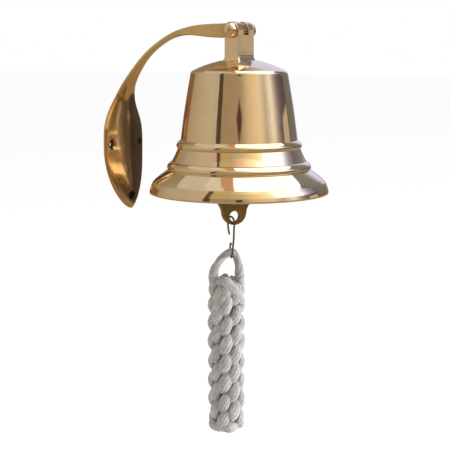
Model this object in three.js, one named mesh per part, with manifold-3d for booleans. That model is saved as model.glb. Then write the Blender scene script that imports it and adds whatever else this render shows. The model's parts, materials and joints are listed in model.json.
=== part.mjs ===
// A six-inch brass ship bell on a cast wall bracket, with its clapper, hook and braided lanyard.
// Units are millimetres and +Z is up. The origin is on the flat back of the bracket's leaf-shaped
// wall plate, +X points away from the wall, and the pivot bolt lies along Y.
import * as THREE from "three";
import { mergeVertices } from "three/addons/utils/BufferGeometryUtils.js";
import Module from "manifold-3d";

const wasm = await Module();
wasm.setup();

// ---- Driving dimensions -------------------------------------------------------------------------
const GAP = 0.3; // between pieces that rest on each other
const RUNNING_GAP = 0.35; // between the parts of the pivot
const HOOK_RUNNING_GAP = 0.8; // between the swinging hook and the hole it hangs in

const PIVOT_REACH = 132; // wall to pivot bolt
const PIVOT_HEIGHT = 100; // middle of the wall plate to pivot bolt

// Bell shell: radii and heights above the lip
const LIP_RADIUS = 75.9;
const CROWN_EDGE_RADIUS = 40;
const BELL_HEIGHT = 111.2; // lip to the top of the crown
const CROWN_EDGE_DROP = 9.6; // crown top down to its edge
const CROWN_FLAT_RADIUS = 16;
const WALL = 4; // thickness of the waist
const SOUND_BOW = 6.4; // thickness of the lip
const BEAD_HEIGHT = 7;
const LOWER_BEAD_BASE = 20.3;
const UPPER_BEAD_BASE = 38;

// Yoke: a block with two ears that straddle the bracket's tongue
const YOKE_DEPTH = 14.2; // along X
const EAR_THICK = 7.6;
const FOOT_HEIGHT = 4.2;
const SLOT_DEPTH = 9.8; // below the pivot axis
const CROWN_TO_PIVOT = 24.8;

// Bracket
const TONGUE_THICK = 6.2;
const EYE_RADIUS = 6.2;
const PLATE_HALF_WIDTH = 25.6;
const PLATE_CROWN = 8.5; // thickness on the plate's midline
const PLATE_EDGE = 3; // thickness at its rim
const PLATE_TOP = 38;
const PLATE_BOTTOM = -59;
const PLATE_FLAT_BELOW = -8; // the back is flat down to here, and curls forward below
const TIP_CURL = 7; // how far the tip stands off the wall
const SCREW_HOLE_RADIUS = 2.4;
const SCREW_HEAD_RADIUS = 4.4;
const SCREW_SIDE_OFFSET = 18.5;
const SCREW_TIP_HEIGHT = -47;

// Pivot bolt and its dome nut
const BOLT_RADIUS = 3;
const DOME_RADIUS = 6.6;
const DOME_HEIGHT = 5.6;
const NUT_LENGTH = 8.2;

// Fastening under the crown
const STUD_RADIUS = 4;
const STUD_INTO_YOKE = 9;
const WASHER_RADIUS = 11;
const WASHER_THICK = 1.6;
const NUT_FLATS = 13;
const NUT_HEIGHT = 6.5;

// Hanger eye and clapper
const CLAPPER_TURN = -32; // degrees about Z
const HANGER_OFFSET = 4.8; // the eye hangs this far to one side of the stud
const HANGER_RING_RADIUS = 6;
const HANGER_WIRE_RADIUS = 2.1;
const CLAPPER_RING_RADIUS = 6.2;
const CLAPPER_RING_WIRE = 2.4;
const STEM_RADIUS = 3.6;
const BALL_RADIUS = 15.5;
const BALL_HEIGHT = 12; // above the lip
const TAIL_THICK = 5.6;
const TAIL_TIP_RADIUS = 10.8;
const TAIL_SHOULDER = 15.2; // half width where the tail spreads out under the ball
const TAIL_LENGTH = 27.4; // below the lip
const TAIL_HOLE_RADIUS = 4.6;

// S-hook and lanyard
const HOOK_WIRE = 0.8; // radius
const HOOK_BEND_RADIUS = 5.2;
const HOOK_TURN = -22; // degrees about Z, for the upper bend
const LOWER_LOOP_TURN = -45; // degrees about Z, for the lower loop
const LOWER_LOOP_RADIUS = 6.1;
const HOOK_LENGTH = 35.2; // seat of the upper bend to seat of the lower loop
const HOOK_SIDE = 2.4; // how far beside the middle of the tail's hole it hangs
const ROPE_RADIUS = 4.1;
const ROPE_TOP_RADIUS = 3; // the eye's rope is pinched where it hangs on the hook
const ROPE_SEAT_GAP = 1.5; // under the bent rope, over the hook's loop
const EYE_LENGTH = 26;
const EYE_LEFT = 15.2; // the eye's two legs, each side of the hook
const EYE_RIGHT = 7.4;
const BRAID_LENGTH = 135;
const BRAID_TOP_RADIUS = 16.2;
const BRAID_RADIUS = 15.4;

// Fineness of the faceted surfaces
const BELL_SIDES = 48;
const ROUND_SIDES = 28;
const WIRE_SIDES = 10;

// ---- Shared positions ---------------------------------------------------------------------------
const SLOT_WIDTH = TONGUE_THICK + 2 * RUNNING_GAP;
const YOKE_HALF_WIDTH = SLOT_WIDTH / 2 + EAR_THICK;
const CROWN_Z = PIVOT_HEIGHT - CROWN_TO_PIVOT;
const LIP_Z = CROWN_Z - BELL_HEIGHT;
const CROWN_UNDERSIDE = BELL_HEIGHT - 1.3 * WALL; // above the lip
const BORE_CLEARANCE = GAP;
const PIVOT = new THREE.Vector3(PIVOT_REACH, 0, PIVOT_HEIGHT);
const rad = THREE.MathUtils.degToRad;
const vec = (x, y, z) => new THREE.Vector3(x, y, z);

// ---- Solid helpers ------------------------------------------------------------------------------
// A three.js geometry as a solid that can be joined and cut.
function solid(geometry) {
  const bare = geometry.index ? geometry.toNonIndexed() : geometry.clone();
  bare.deleteAttribute("normal");
  bare.deleteAttribute("uv");
  const merged = mergeVertices(bare, 1e-4);
  return new wasm.Manifold(
    new wasm.Mesh({
      numProp: 3,
      vertProperties: merged.attributes.position.array,
      triVerts: new Uint32Array(merged.index.array),
    }),
  );
}

// A solid as a three.js geometry again.
function geometryOf(body) {
  const { vertProperties, numProp, triVerts } = body.getMesh();
  const positions = new Float32Array((vertProperties.length / numProp) * 3);
  for (let i = 0; i < positions.length / 3; i++) {
    for (let k = 0; k < 3; k++) positions[3 * i + k] = vertProperties[numProp * i + k];
  }
  const geometry = new THREE.BufferGeometry();
  geometry.setAttribute("position", new THREE.BufferAttribute(positions, 3));
  geometry.setIndex(new THREE.BufferAttribute(new Uint32Array(triVerts), 1));
  geometry.computeVertexNormals();
  return geometry;
}

const joined = (first, ...others) => others.reduce((whole, next) => whole.add(next), first);
const cut = (body, ...tools) => tools.reduce((rest, tool) => rest.subtract(tool), body);

// A profile of [radius, height] pairs, listed anticlockwise, turned about Z.
function turned(profile, sides = ROUND_SIDES) {
  const points = profile.map(([r, z]) => new THREE.Vector2(r, z));
  return new THREE.LatheGeometry(points, sides).rotateX(Math.PI / 2);
}

// A profile that runs around a central bore: it closes on itself.
const turnedRing = (profile, sides) => turned([...profile, profile[0]], sides);

// A round bar along Y, used for bolts and bores.
function barAlongY(radius, from, to, sides = ROUND_SIDES) {
  const bar = new THREE.CylinderGeometry(radius, radius, to - from, sides);
  return bar.translate(0, (from + to) / 2, 0);
}

// A round bar along Z.
function barAlongZ(radius, from, to, sides = ROUND_SIDES) {
  const bar = new THREE.CylinderGeometry(radius, radius, to - from, sides).rotateX(Math.PI / 2);
  return bar.translate(0, 0, (from + to) / 2);
}

// Round wire or rope along a curve.
function wire(curve, radius, steps, sides = WIRE_SIDES) {
  const section = new THREE.Shape();
  for (let i = 0; i < sides; i++) {
    const angle = (2 * Math.PI * i) / sides;
    const x = radius * Math.cos(angle);
    const y = radius * Math.sin(angle);
    if (i === 0) section.moveTo(x, y);
    else section.lineTo(x, y);
  }
  section.closePath();
  return new THREE.ExtrudeGeometry(section, { steps, extrudePath: curve, bevelEnabled: false });
}

// A flat plate: an outline in the XZ plane, thickened along Y about the middle.
function plateAcrossY(outline, thickness, curveSegments = 12) {
  const flat = new THREE.ExtrudeGeometry(outline, {
    depth: thickness,
    bevelEnabled: false,
    curveSegments,
  });
  return flat.rotateX(Math.PI / 2).translate(0, thickness / 2, 0);
}

// A skin over closed rings of equally many points, with a flat cap at each end.
function loft(rings) {
  const count = rings[0].length;
  const positions = rings.flat().flatMap((p) => [p.x, p.y, p.z]);
  const index = [];
  for (let r = 0; r + 1 < rings.length; r++) {
    for (let i = 0; i < count; i++) {
      const a = r * count + i;
      const b = r * count + ((i + 1) % count);
      index.push(a, b, b + count, a, b + count, a + count);
    }
  }
  const last = (rings.length - 1) * count;
  for (let i = 1; i + 1 < count; i++) {
    index.push(0, i + 1, i);
    index.push(last, last + i, last + i + 1);
  }
  const geometry = new THREE.BufferGeometry();
  geometry.setAttribute("position", new THREE.Float32BufferAttribute(positions, 3));
  geometry.setIndex(index);
  return geometry;
}

// ---- Wall bracket -------------------------------------------------------------------------------
// Stations along the casting: the middle of the section, its half width along Y, its thickness
// at the rim and on the midline. The arm's stations keep their distance from the pivot.
const fromPivot = (x, z) => [PIVOT_REACH + x, PIVOT_HEIGHT + z];
const ARM_HALF_WIDTH = TONGUE_THICK / 2;
const ARM_STATIONS = [
  { at: fromPivot(0, 0), half: ARM_HALF_WIDTH, thick: 2 * EYE_RADIUS },
  { at: fromPivot(-15, -0.1), half: ARM_HALF_WIDTH, thick: 12 },
  { at: fromPivot(-26.6, 0.1), half: ARM_HALF_WIDTH, thick: 11.4 },
  { at: fromPivot(-37.5, 0.4), half: ARM_HALF_WIDTH, thick: 10 },
  { at: fromPivot(-47, 0.4), half: ARM_HALF_WIDTH, thick: 8.2 },
  { at: fromPivot(-55.7, -0.2), half: ARM_HALF_WIDTH, thick: 6.4 },
  { at: fromPivot(-65, -1.7), half: ARM_HALF_WIDTH, thick: 4.8 },
  { at: fromPivot(-75.5, -5.1), half: ARM_HALF_WIDTH, thick: 3.8 },
  { at: fromPivot(-85.3, -10), half: 3.2, thick: 3.5 },
  { at: fromPivot(-94.6, -15.8), half: 3.5, thick: 3.5 },
  { at: fromPivot(-104.4, -23.8), half: 4.1, thick: 3.6 },
  { at: fromPivot(-113.4, -33.6), half: 5.3, thick: 3.9 },
  { at: fromPivot(-120.4, -42.6), half: 6.8, thick: 4.2 },
  { at: fromPivot(-125.8, -51.4), half: 9, thick: 4.8 },
];
const PLATE_RINGS = 15;
const SECTION_SIDES = 9; // points across the front of a section
const RIM_ROUNDING = 0.18; // share of the thickness

// The leaf's half width at a height: full in its upper middle, and drawn in to both ends.
function leafHalfWidth(z) {
  const above = z > 0;
  const reach = above ? PLATE_TOP * 1.22 : -PLATE_BOTTOM;
  const share = Math.min(1, Math.abs(z) / reach);
  return PLATE_HALF_WIDTH * Math.pow(1 - Math.pow(share, above ? 2.9 : 2.35), above ? 0.86 : 0.72);
}

// How far the back stands off the wall at a height.
function curl(z) {
  const share = Math.max(0, (PLATE_FLAT_BELOW - z) / (PLATE_FLAT_BELOW - PLATE_BOTTOM));
  return TIP_CURL * Math.pow(share, 1.45);
}

// One cross section: flat on the wall side, crowned on the front, with a rounded rim.
function section(middle, out, half, edge, crown) {
  const across = vec(0, 1, 0);
  const place = (y, depth) =>
    middle.clone().addScaledVector(across, y).addScaledVector(out, depth);
  const rim = Math.min(RIM_ROUNDING * edge, half / 3);
  const ring = [place(-half + rim, 0), place(half - rim, 0), place(half, rim)];
  for (let i = 0; i < SECTION_SIDES; i++) {
    const u = 1 - (2 * i) / (SECTION_SIDES - 1);
    const depth = edge + (crown - edge) * (1 - u * u);
    ring.push(place(u * half, depth - (i % (SECTION_SIDES - 1) === 0 ? rim : 0)));
  }
  ring.push(place(-half, rim));
  return ring;
}

function armRings() {
  const middles = new THREE.CatmullRomCurve3(
    [...ARM_STATIONS.map(({ at }) => vec(at[0], 0, at[1])), vec(2, 0, PLATE_TOP)],
    false,
    "centripetal",
  );
  const last = ARM_STATIONS.length;
  return ARM_STATIONS.map(({ half, thick }, i) => {
    const middle = middles.getPoint(i / last);
    const along = middles.getTangent(i / last);
    const out = vec(-along.z, 0, along.x);
    const back = middle.clone().addScaledVector(out, -thick / 2);
    const crowning = i < 8 ? 0 : 0.12 * thick;
    return section(back, out, half, thick - crowning, thick + crowning);
  });
}

function plateRings() {
  const rings = [];
  for (let i = 0; i < PLATE_RINGS; i++) {
    const share = i / (PLATE_RINGS - 1);
    const eased = Math.sin((share * Math.PI) / 2);
    const z = PLATE_TOP + (PLATE_BOTTOM + 0.4 - PLATE_TOP) * eased;
    const half = leafHalfWidth(z);
    const crown = PLATE_EDGE + (PLATE_CROWN - PLATE_EDGE) * Math.pow(half / PLATE_HALF_WIDTH, 0.55);
    rings.push(section(vec(curl(z), 0, z), vec(1, 0, 0), half, PLATE_EDGE, crown));
  }
  return rings;
}

function screwHole(y, z) {
  const deep = 2 * PLATE_CROWN + TIP_CURL;
  const front = curl(z) + PLATE_EDGE + (PLATE_CROWN - PLATE_EDGE) * (1 - (y / PLATE_HALF_WIDTH) ** 2);
  const sinkDepth = SCREW_HEAD_RADIUS - SCREW_HOLE_RADIUS;
  const sink = new THREE.CylinderGeometry(
    SCREW_HEAD_RADIUS + 2,
    SCREW_HOLE_RADIUS,
    sinkDepth + 2,
    ROUND_SIDES,
  );
  const hole = new THREE.CylinderGeometry(SCREW_HOLE_RADIUS, SCREW_HOLE_RADIUS, 2 * deep, ROUND_SIDES);
  const along = (g) => g.rotateZ(-Math.PI / 2);
  return joined(
    solid(along(hole).translate(0, y, z)),
    solid(along(sink).translate(front + (2 - sinkDepth) / 2, y, z)),
  );
}

function wallBracket() {
  const casting = solid(loft([...armRings(), ...plateRings()]));
  const eye = solid(
    barAlongY(EYE_RADIUS, -ARM_HALF_WIDTH, ARM_HALF_WIDTH).translate(PIVOT.x, 0, PIVOT.z),
  );
  const bore = solid(
    barAlongY(BOLT_RADIUS + RUNNING_GAP, -TONGUE_THICK, TONGUE_THICK).translate(PIVOT.x, 0, PIVOT.z),
  );
  return cut(
    joined(casting, eye),
    bore,
    screwHole(-SCREW_SIDE_OFFSET, 0),
    screwHole(SCREW_SIDE_OFFSET, 0),
    screwHole(0, SCREW_TIP_HEIGHT),
  );
}

// ---- Bell ---------------------------------------------------------------------------------------
// Radius of the outside at the groove under each bead and at the top of the waist.
const LOWER_GROOVE = LIP_RADIUS - 15.9;
const UPPER_GROOVE = LIP_RADIUS - 24.2;
const WAIST_BASE = LIP_RADIUS - 26.6;

// A bead's outline between its two grooves, bulging outwards.
function bead(base, lowRadius, highRadius, bulge) {
  const points = [];
  for (let i = 1; i < 6; i++) {
    const share = i / 6;
    const radius = lowRadius + (highRadius - lowRadius) * share + bulge * Math.sin(Math.PI * share);
    points.push([radius, base + BEAD_HEIGHT * share]);
  }
  return points;
}

function bellOutside() {
  const edgeZ = BELL_HEIGHT - CROWN_EDGE_DROP;
  const waistTop = edgeZ - 2.6;
  const waistZ = UPPER_BEAD_BASE + BEAD_HEIGHT;
  const waist = [0, 0.25, 0.5, 0.75, 1].map((share) => [
    WAIST_BASE + (CROWN_EDGE_RADIUS + 1 - WAIST_BASE) * share + 0.5 * Math.sin(Math.PI * share),
    waistZ + (waistTop - waistZ) * share,
  ]);
  return [
    [LIP_RADIUS - 1.2, 0],
    [LIP_RADIUS - 0.2, 0.5],
    [LIP_RADIUS, 1.5],
    [LIP_RADIUS - 0.5, 4],
    [LIP_RADIUS - 1.5, 6.8],
    [LIP_RADIUS - 2.8, 9.6],
    [LIP_RADIUS - 5.6, 12.4],
    [LIP_RADIUS - 8.9, 15.1],
    [LIP_RADIUS - 12.2, 17.6],
    [LIP_RADIUS - 15.2, 19.8],
    [LOWER_GROOVE, LOWER_BEAD_BASE],
    ...bead(LOWER_BEAD_BASE, LOWER_GROOVE, LOWER_GROOVE - 2.8, 2.2),
    [LOWER_GROOVE - 3.3, LOWER_BEAD_BASE + BEAD_HEIGHT],
    [LOWER_GROOVE - 5, 30.6],
    [LOWER_GROOVE - 6.6, 34],
    [UPPER_GROOVE + 0.1, UPPER_BEAD_BASE - 0.3],
    ...bead(UPPER_BEAD_BASE, UPPER_GROOVE, UPPER_GROOVE - 2.2, 2.3),
    ...waist,
    [CROWN_EDGE_RADIUS + 0.1, edgeZ - 0.6],
    [CROWN_EDGE_RADIUS - 1.6, edgeZ + 1.4],
    [CROWN_EDGE_RADIUS - 5, edgeZ + 3.5],
    [CROWN_EDGE_RADIUS - 12, edgeZ + 6],
    [CROWN_FLAT_RADIUS + 3, BELL_HEIGHT - 1],
    [CROWN_FLAT_RADIUS, BELL_HEIGHT],
  ];
}

function bellShell() {
  const bore = STUD_RADIUS + BORE_CLEARANCE;
  const inside = [
    [bore, CROWN_UNDERSIDE],
    [WASHER_RADIUS + 3, CROWN_UNDERSIDE],
    [CROWN_EDGE_RADIUS - 9, BELL_HEIGHT - CROWN_EDGE_DROP - WALL],
    [CROWN_EDGE_RADIUS - WALL, BELL_HEIGHT - CROWN_EDGE_DROP - 2 * WALL],
    [WAIST_BASE - WALL, UPPER_BEAD_BASE + BEAD_HEIGHT],
    [UPPER_GROOVE - WALL, 33],
    [LOWER_GROOVE - WALL - 2, 22],
    [LIP_RADIUS - SOUND_BOW - 7, 9],
    [LIP_RADIUS - SOUND_BOW - 1, 1],
    [LIP_RADIUS - SOUND_BOW, 0],
  ];
  const profile = [...bellOutside(), [bore, BELL_HEIGHT], ...inside];
  return solid(turnedRing(profile, BELL_SIDES).translate(PIVOT_REACH, 0, LIP_Z));
}

// ---- Yoke and pivot -----------------------------------------------------------------------------
function yoke() {
  const half = YOKE_DEPTH / 2;
  const side = new THREE.Shape();
  side.moveTo(-half, -CROWN_TO_PIVOT + GAP);
  side.lineTo(half, -CROWN_TO_PIVOT + GAP);
  side.lineTo(half, 0);
  side.absarc(0, 0, half, 0, Math.PI, false);
  side.closePath();
  const block = solid(plateAcrossY(side, 2 * YOKE_HALF_WIDTH));
  const base = -CROWN_TO_PIVOT + GAP;
  const foot = solid(
    turned([
      [0, base],
      [CROWN_FLAT_RADIUS - GAP, base],
      [CROWN_FLAT_RADIUS - 0.8, base + 0.25 * FOOT_HEIGHT],
      [YOKE_HALF_WIDTH + 2, base + 0.6 * FOOT_HEIGHT],
      [YOKE_HALF_WIDTH + 0.4, base + FOOT_HEIGHT],
      [0, base + FOOT_HEIGHT],
    ]),
  );
  const slot = new THREE.BoxGeometry(3 * YOKE_DEPTH, SLOT_WIDTH, SLOT_DEPTH + YOKE_DEPTH);
  slot.translate(0, 0, (YOKE_DEPTH - SLOT_DEPTH) / 2);
  const bore = barAlongY(BOLT_RADIUS + GAP, -2 * YOKE_HALF_WIDTH, 2 * YOKE_HALF_WIDTH);
  const studBore = barAlongZ(STUD_RADIUS + BORE_CLEARANCE, base - 5, base + STUD_INTO_YOKE + GAP);
  const body = cut(joined(block, foot), solid(slot), solid(bore), solid(studBore));
  return body.translate(PIVOT.x, PIVOT.y, PIVOT.z);
}

// A dome's outline from its rim to its top, on a base at height z.
function dome(radius, height, z) {
  return [0, 0.25, 0.5, 0.75, 1].map((share) => {
    const angle = (share * Math.PI) / 2;
    return [radius * Math.cos(angle), z + height * Math.sin(angle)];
  });
}

const HEAD_FACE = YOKE_HALF_WIDTH + GAP;
const SHANK_END = YOKE_HALF_WIDTH + NUT_LENGTH - 2.5;

function pivotBolt() {
  const profile = [
    [0, -SHANK_END],
    [BOLT_RADIUS, -SHANK_END],
    [BOLT_RADIUS, HEAD_FACE],
    [DOME_RADIUS * 0.86, HEAD_FACE],
    [DOME_RADIUS, HEAD_FACE + 1],
    ...dome(DOME_RADIUS, DOME_HEIGHT, HEAD_FACE + 1.6).slice(0, -1),
    [0, HEAD_FACE + 1.6 + DOME_HEIGHT],
  ];
  return solid(turned(profile).rotateX(Math.PI / 2).translate(PIVOT.x, PIVOT.y, PIVOT.z));
}

function pivotNut() {
  const profile = [
    [BOLT_RADIUS + GAP, HEAD_FACE],
    [DOME_RADIUS * 0.86, HEAD_FACE],
    [DOME_RADIUS, HEAD_FACE + 1],
    ...dome(DOME_RADIUS, NUT_LENGTH - 1.6, HEAD_FACE + 1.6).slice(0, -1),
    [0, HEAD_FACE + NUT_LENGTH],
    [0, SHANK_END + GAP],
    [BOLT_RADIUS + GAP, SHANK_END + GAP],
    [BOLT_RADIUS + GAP, HEAD_FACE],
  ];
  return solid(turned(profile).rotateX(-Math.PI / 2).translate(PIVOT.x, PIVOT.y, PIVOT.z));
}

// ---- Fastening under the crown ------------------------------------------------------------------
const WASHER_TOP = LIP_Z + CROWN_UNDERSIDE - GAP;
const NUT_TOP = WASHER_TOP - WASHER_THICK - GAP;
const NUT_BOTTOM = NUT_TOP - NUT_HEIGHT;

function crownWasher() {
  const inner = STUD_RADIUS + BORE_CLEARANCE;
  const profile = [
    [inner, WASHER_TOP - WASHER_THICK],
    [WASHER_RADIUS, WASHER_TOP - WASHER_THICK],
    [WASHER_RADIUS, WASHER_TOP],
    [inner, WASHER_TOP],
  ];
  return solid(turnedRing(profile).translate(PIVOT_REACH, 0, 0));
}

function crownNut() {
  const across = NUT_FLATS / Math.sqrt(3);
  const hex = solid(barAlongZ(across, NUT_BOTTOM, NUT_TOP, 6));
  const bore = solid(barAlongZ(STUD_RADIUS + BORE_CLEARANCE, NUT_BOTTOM - 1, NUT_TOP + 1));
  return cut(hex, bore).translate(PIVOT_REACH, 0, 0);
}

// ---- Hanger and clapper -------------------------------------------------------------------------
// Both are drawn about the stud's axis with the clapper swinging along X, then turned about Z.
const HANGER_Z = NUT_BOTTOM - HANGER_RING_RADIUS - HANGER_WIRE_RADIUS - 1; // middle of its ring
const SEAT_Z = HANGER_Z - HANGER_RING_RADIUS; // the clapper swings about this line
const RING_SEAT = HANGER_WIRE_RADIUS + CLAPPER_RING_WIRE + GAP;
const CLAPPER_RING_Z = SEAT_Z + RING_SEAT - CLAPPER_RING_RADIUS;
const placeClapper = (body) => body.rotate([0, 0, CLAPPER_TURN]).translate(PIVOT_REACH, 0, 0);

function clapperHanger() {
  const top = CROWN_Z + STUD_INTO_YOKE;
  const stud = solid(barAlongZ(STUD_RADIUS, NUT_BOTTOM - 2, top));
  const ring = solid(
    new THREE.TorusGeometry(HANGER_RING_RADIUS, HANGER_WIRE_RADIUS, WIRE_SIDES, ROUND_SIDES)
      .rotateY(Math.PI / 2)
      .translate(0, -HANGER_OFFSET, HANGER_Z),
  );
  const neckCurve = new THREE.CatmullRomCurve3([
    vec(0, 0, NUT_BOTTOM - 1),
    vec(0, 0.2, NUT_BOTTOM - 4),
    vec(0, 0.6, HANGER_Z + 0.5),
  ]);
  const neck = solid(wire(neckCurve, HANGER_WIRE_RADIUS + 0.2, 6));
  return placeClapper(joined(stud, ring, neck));
}

// The tail's outline: it spreads from its round tip up into the ball.
function tailOutline() {
  const tipCentre = -TAIL_LENGTH + TAIL_TIP_RADIUS;
  const outline = new THREE.Shape();
  const root = BALL_RADIUS - 4;
  const waistZ = tipCentre / 2;
  outline.moveTo(root, BALL_HEIGHT);
  outline.quadraticCurveTo(TAIL_SHOULDER + 1.6, 2, TAIL_SHOULDER, -8);
  outline.quadraticCurveTo(TAIL_TIP_RADIUS + 0.2, waistZ - 5, TAIL_TIP_RADIUS, tipCentre);
  outline.absarc(0, tipCentre, TAIL_TIP_RADIUS, 0, -Math.PI, true);
  outline.quadraticCurveTo(-TAIL_TIP_RADIUS - 0.2, waistZ - 5, -TAIL_SHOULDER, -8);
  outline.quadraticCurveTo(-TAIL_SHOULDER - 1.6, 2, -root, BALL_HEIGHT);
  outline.closePath();
  return outline;
}

const TAIL_HOLE_Z = -TAIL_LENGTH + 7.4; // above the lip

function clapper() {
  const ring = solid(
    new THREE.TorusGeometry(CLAPPER_RING_RADIUS, CLAPPER_RING_WIRE, WIRE_SIDES, ROUND_SIDES)
      .rotateX(Math.PI / 2)
      .translate(0, 0, CLAPPER_RING_Z),
  );
  const stemTop = CLAPPER_RING_Z - CLAPPER_RING_RADIUS;
  const ballZ = LIP_Z + BALL_HEIGHT;
  const stem = solid(
    turned([
      [0, ballZ],
      [STEM_RADIUS + 2, ballZ],
      [STEM_RADIUS + 2, ballZ + BALL_RADIUS],
      [STEM_RADIUS, ballZ + BALL_RADIUS + 8],
      [STEM_RADIUS - 0.6, stemTop],
      [0, stemTop],
    ]),
  );
  const ball = solid(
    new THREE.SphereGeometry(BALL_RADIUS, ROUND_SIDES, 14).rotateX(Math.PI / 2).translate(0, 0, ballZ),
  );
  const tail = solid(
    plateAcrossY(tailOutline(), TAIL_THICK).rotateZ(Math.PI / 2).translate(0, 0, LIP_Z),
  );
  const hole = solid(
    new THREE.CylinderGeometry(TAIL_HOLE_RADIUS, TAIL_HOLE_RADIUS, 3 * TAIL_THICK, ROUND_SIDES)
      .rotateZ(Math.PI / 2)
      .translate(0, 0, LIP_Z + TAIL_HOLE_Z),
  );
  const casting = cut(joined(ring, stem, ball, tail), hole);
  return placeClapper(casting.translate(0, -HANGER_OFFSET, 0));
}

// ---- S-hook and lanyard -------------------------------------------------------------------------
const level = (degrees) => vec(Math.cos(rad(degrees)), Math.sin(rad(degrees)), 0);
// The hook hangs in the tail's hole, beside the hole's middle.
const hookMiddle = vec(PIVOT_REACH, 0, 0).addScaledVector(
  level(CLAPPER_TURN + 90),
  -HANGER_OFFSET - HOOK_SIDE,
);
const holeRise = TAIL_HOLE_RADIUS - Math.sqrt(TAIL_HOLE_RADIUS ** 2 - (HOOK_SIDE + HOOK_WIRE) ** 2);
// The bend is round, so it rides higher over the edges of the flat tail than at its middle.
const overEdge = TAIL_THICK / 2 + HOOK_WIRE;
const bendDrop = HOOK_BEND_RADIUS - Math.sqrt(HOOK_BEND_RADIUS ** 2 - overEdge ** 2);
const HOLE_BOTTOM_Z = LIP_Z + TAIL_HOLE_Z - TAIL_HOLE_RADIUS + holeRise;
const HOOK_SEAT_Z = HOLE_BOTTOM_Z + HOOK_WIRE + HOOK_RUNNING_GAP + bendDrop;
const LOOP_SEAT_Z = HOOK_SEAT_Z - HOOK_LENGTH;

function sHook() {
  const upper = level(HOOK_TURN);
  const lower = level(LOWER_LOOP_TURN);
  const at = (direction, reach, z) => hookMiddle.clone().addScaledVector(direction, reach).setZ(z);
  const r = HOOK_BEND_RADIUS;
  const q = LOWER_LOOP_RADIUS;
  const upperTurn = [0, 45, 90, 135].map((a) =>
    at(upper, -r * Math.cos(rad(a)), HOOK_SEAT_Z - r * (1 - Math.sin(rad(a)))),
  );
  const lowerTurn = [20, 65, 110, 155, 200, 245, 290].map((a) =>
    at(lower, q * Math.cos(rad(a)), LOOP_SEAT_Z + q * (1 - Math.sin(rad(a)))),
  );
  const points = [
    at(upper, -0.5 * r, HOOK_SEAT_Z - 3.05 * r),
    at(upper, -0.88 * r, HOOK_SEAT_Z - 2.1 * r),
    ...upperTurn,
    at(upper, r, HOOK_SEAT_Z - r),
    at(upper, 0.9 * r, HOOK_SEAT_Z - 2 * r),
    at(upper, 0.8 * r, LOOP_SEAT_Z + 2.6 * q),
    ...lowerTurn,
  ];
  return solid(wire(new THREE.CatmullRomCurve3(points), HOOK_WIRE, 56, 8));
}

// The lanyard lies in the upright plane across the lower loop's wire.
const acrossLoop = level(LOWER_LOOP_TURN + 90);
const throughLoop = level(LOWER_LOOP_TURN);
const lanyardPoint = (side, z) => hookMiddle.clone().addScaledVector(acrossLoop, side).setZ(z);
const EYE_TOP_Z = LOOP_SEAT_Z + HOOK_WIRE + ROPE_SEAT_GAP + ROPE_TOP_RADIUS;
const BRAID_TOP_Z = EYE_TOP_Z + ROPE_TOP_RADIUS - EYE_LENGTH;

// The eye's rope goes up one side, through the hook's loop and down the other. It is full at its
// feet and pinched at the top.
function lanyardEye() {
  const foot = BRAID_TOP_Z + 2 * GAP;
  const rise = EYE_TOP_Z - foot;
  const left = [1, 1, 0.86, 0.46]; // shares of each side's reach, from the foot up
  const right = [1, 1, 0.9, 0.6];
  const heights = [0, 0.12, 0.45, 0.8]; // shares of the rise
  const rightLeg = heights.map((h, i) => lanyardPoint(right[i] * EYE_RIGHT, foot + h * rise));
  const curve = new THREE.CatmullRomCurve3([
    ...heights.map((h, i) => lanyardPoint(-left[i] * EYE_LEFT, foot + h * rise)),
    lanyardPoint(0, EYE_TOP_Z),
    ...rightLeg.reverse(),
  ]);
  const steps = 22;
  const sides = 10;
  const rings = [];
  for (let i = 0; i <= steps; i++) {
    const middle = curve.getPointAt(i / steps);
    const along = i === 0 || i === steps ? vec(0, 0, i === 0 ? 1 : -1) : curve.getTangentAt(i / steps);
    const across = throughLoop.clone().cross(along);
    const lift = Math.min(1, (2 * (middle.z - foot)) / rise);
    const radius = ROPE_RADIUS + (ROPE_TOP_RADIUS - ROPE_RADIUS) * lift ** 2;
    const ring = [];
    for (let k = 0; k < sides; k++) {
      const angle = (2 * Math.PI * k) / sides;
      const point = middle.clone().addScaledVector(throughLoop, radius * Math.cos(angle));
      ring.push(point.addScaledVector(across, -radius * Math.sin(angle)));
    }
    rings.push(ring);
  }
  return solid(loft(rings));
}

function lanyardBraid() {
  const bottom = BRAID_TOP_Z - BRAID_LENGTH;
  const middle = lanyardPoint((EYE_RIGHT - EYE_LEFT) / 2, 0);
  const profile = [
    [0, bottom],
    [0.6 * BRAID_RADIUS, bottom + 1],
    [0.92 * BRAID_RADIUS, bottom + 7],
    [BRAID_RADIUS, bottom + 16],
    [BRAID_TOP_RADIUS, BRAID_TOP_Z - 14],
    [0.98 * BRAID_TOP_RADIUS, BRAID_TOP_Z],
    [0, BRAID_TOP_Z],
  ];
  return solid(turned(profile, 20).translate(middle.x, middle.y, 0));
}

// ---- Assembly -----------------------------------------------------------------------------------
const finish = {
  polishedBrass: { color: 0xd0a257, roughness: 0.12, metalness: 1 },
  castBrass: { color: 0xb98a45, roughness: 0.35, metalness: 1 },
  steelWire: { color: 0xb5a98f, roughness: 0.3, metalness: 1 },
  cottonRope: { color: 0xc9c3bb, roughness: 0.95, metalness: 0 },
};

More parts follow.
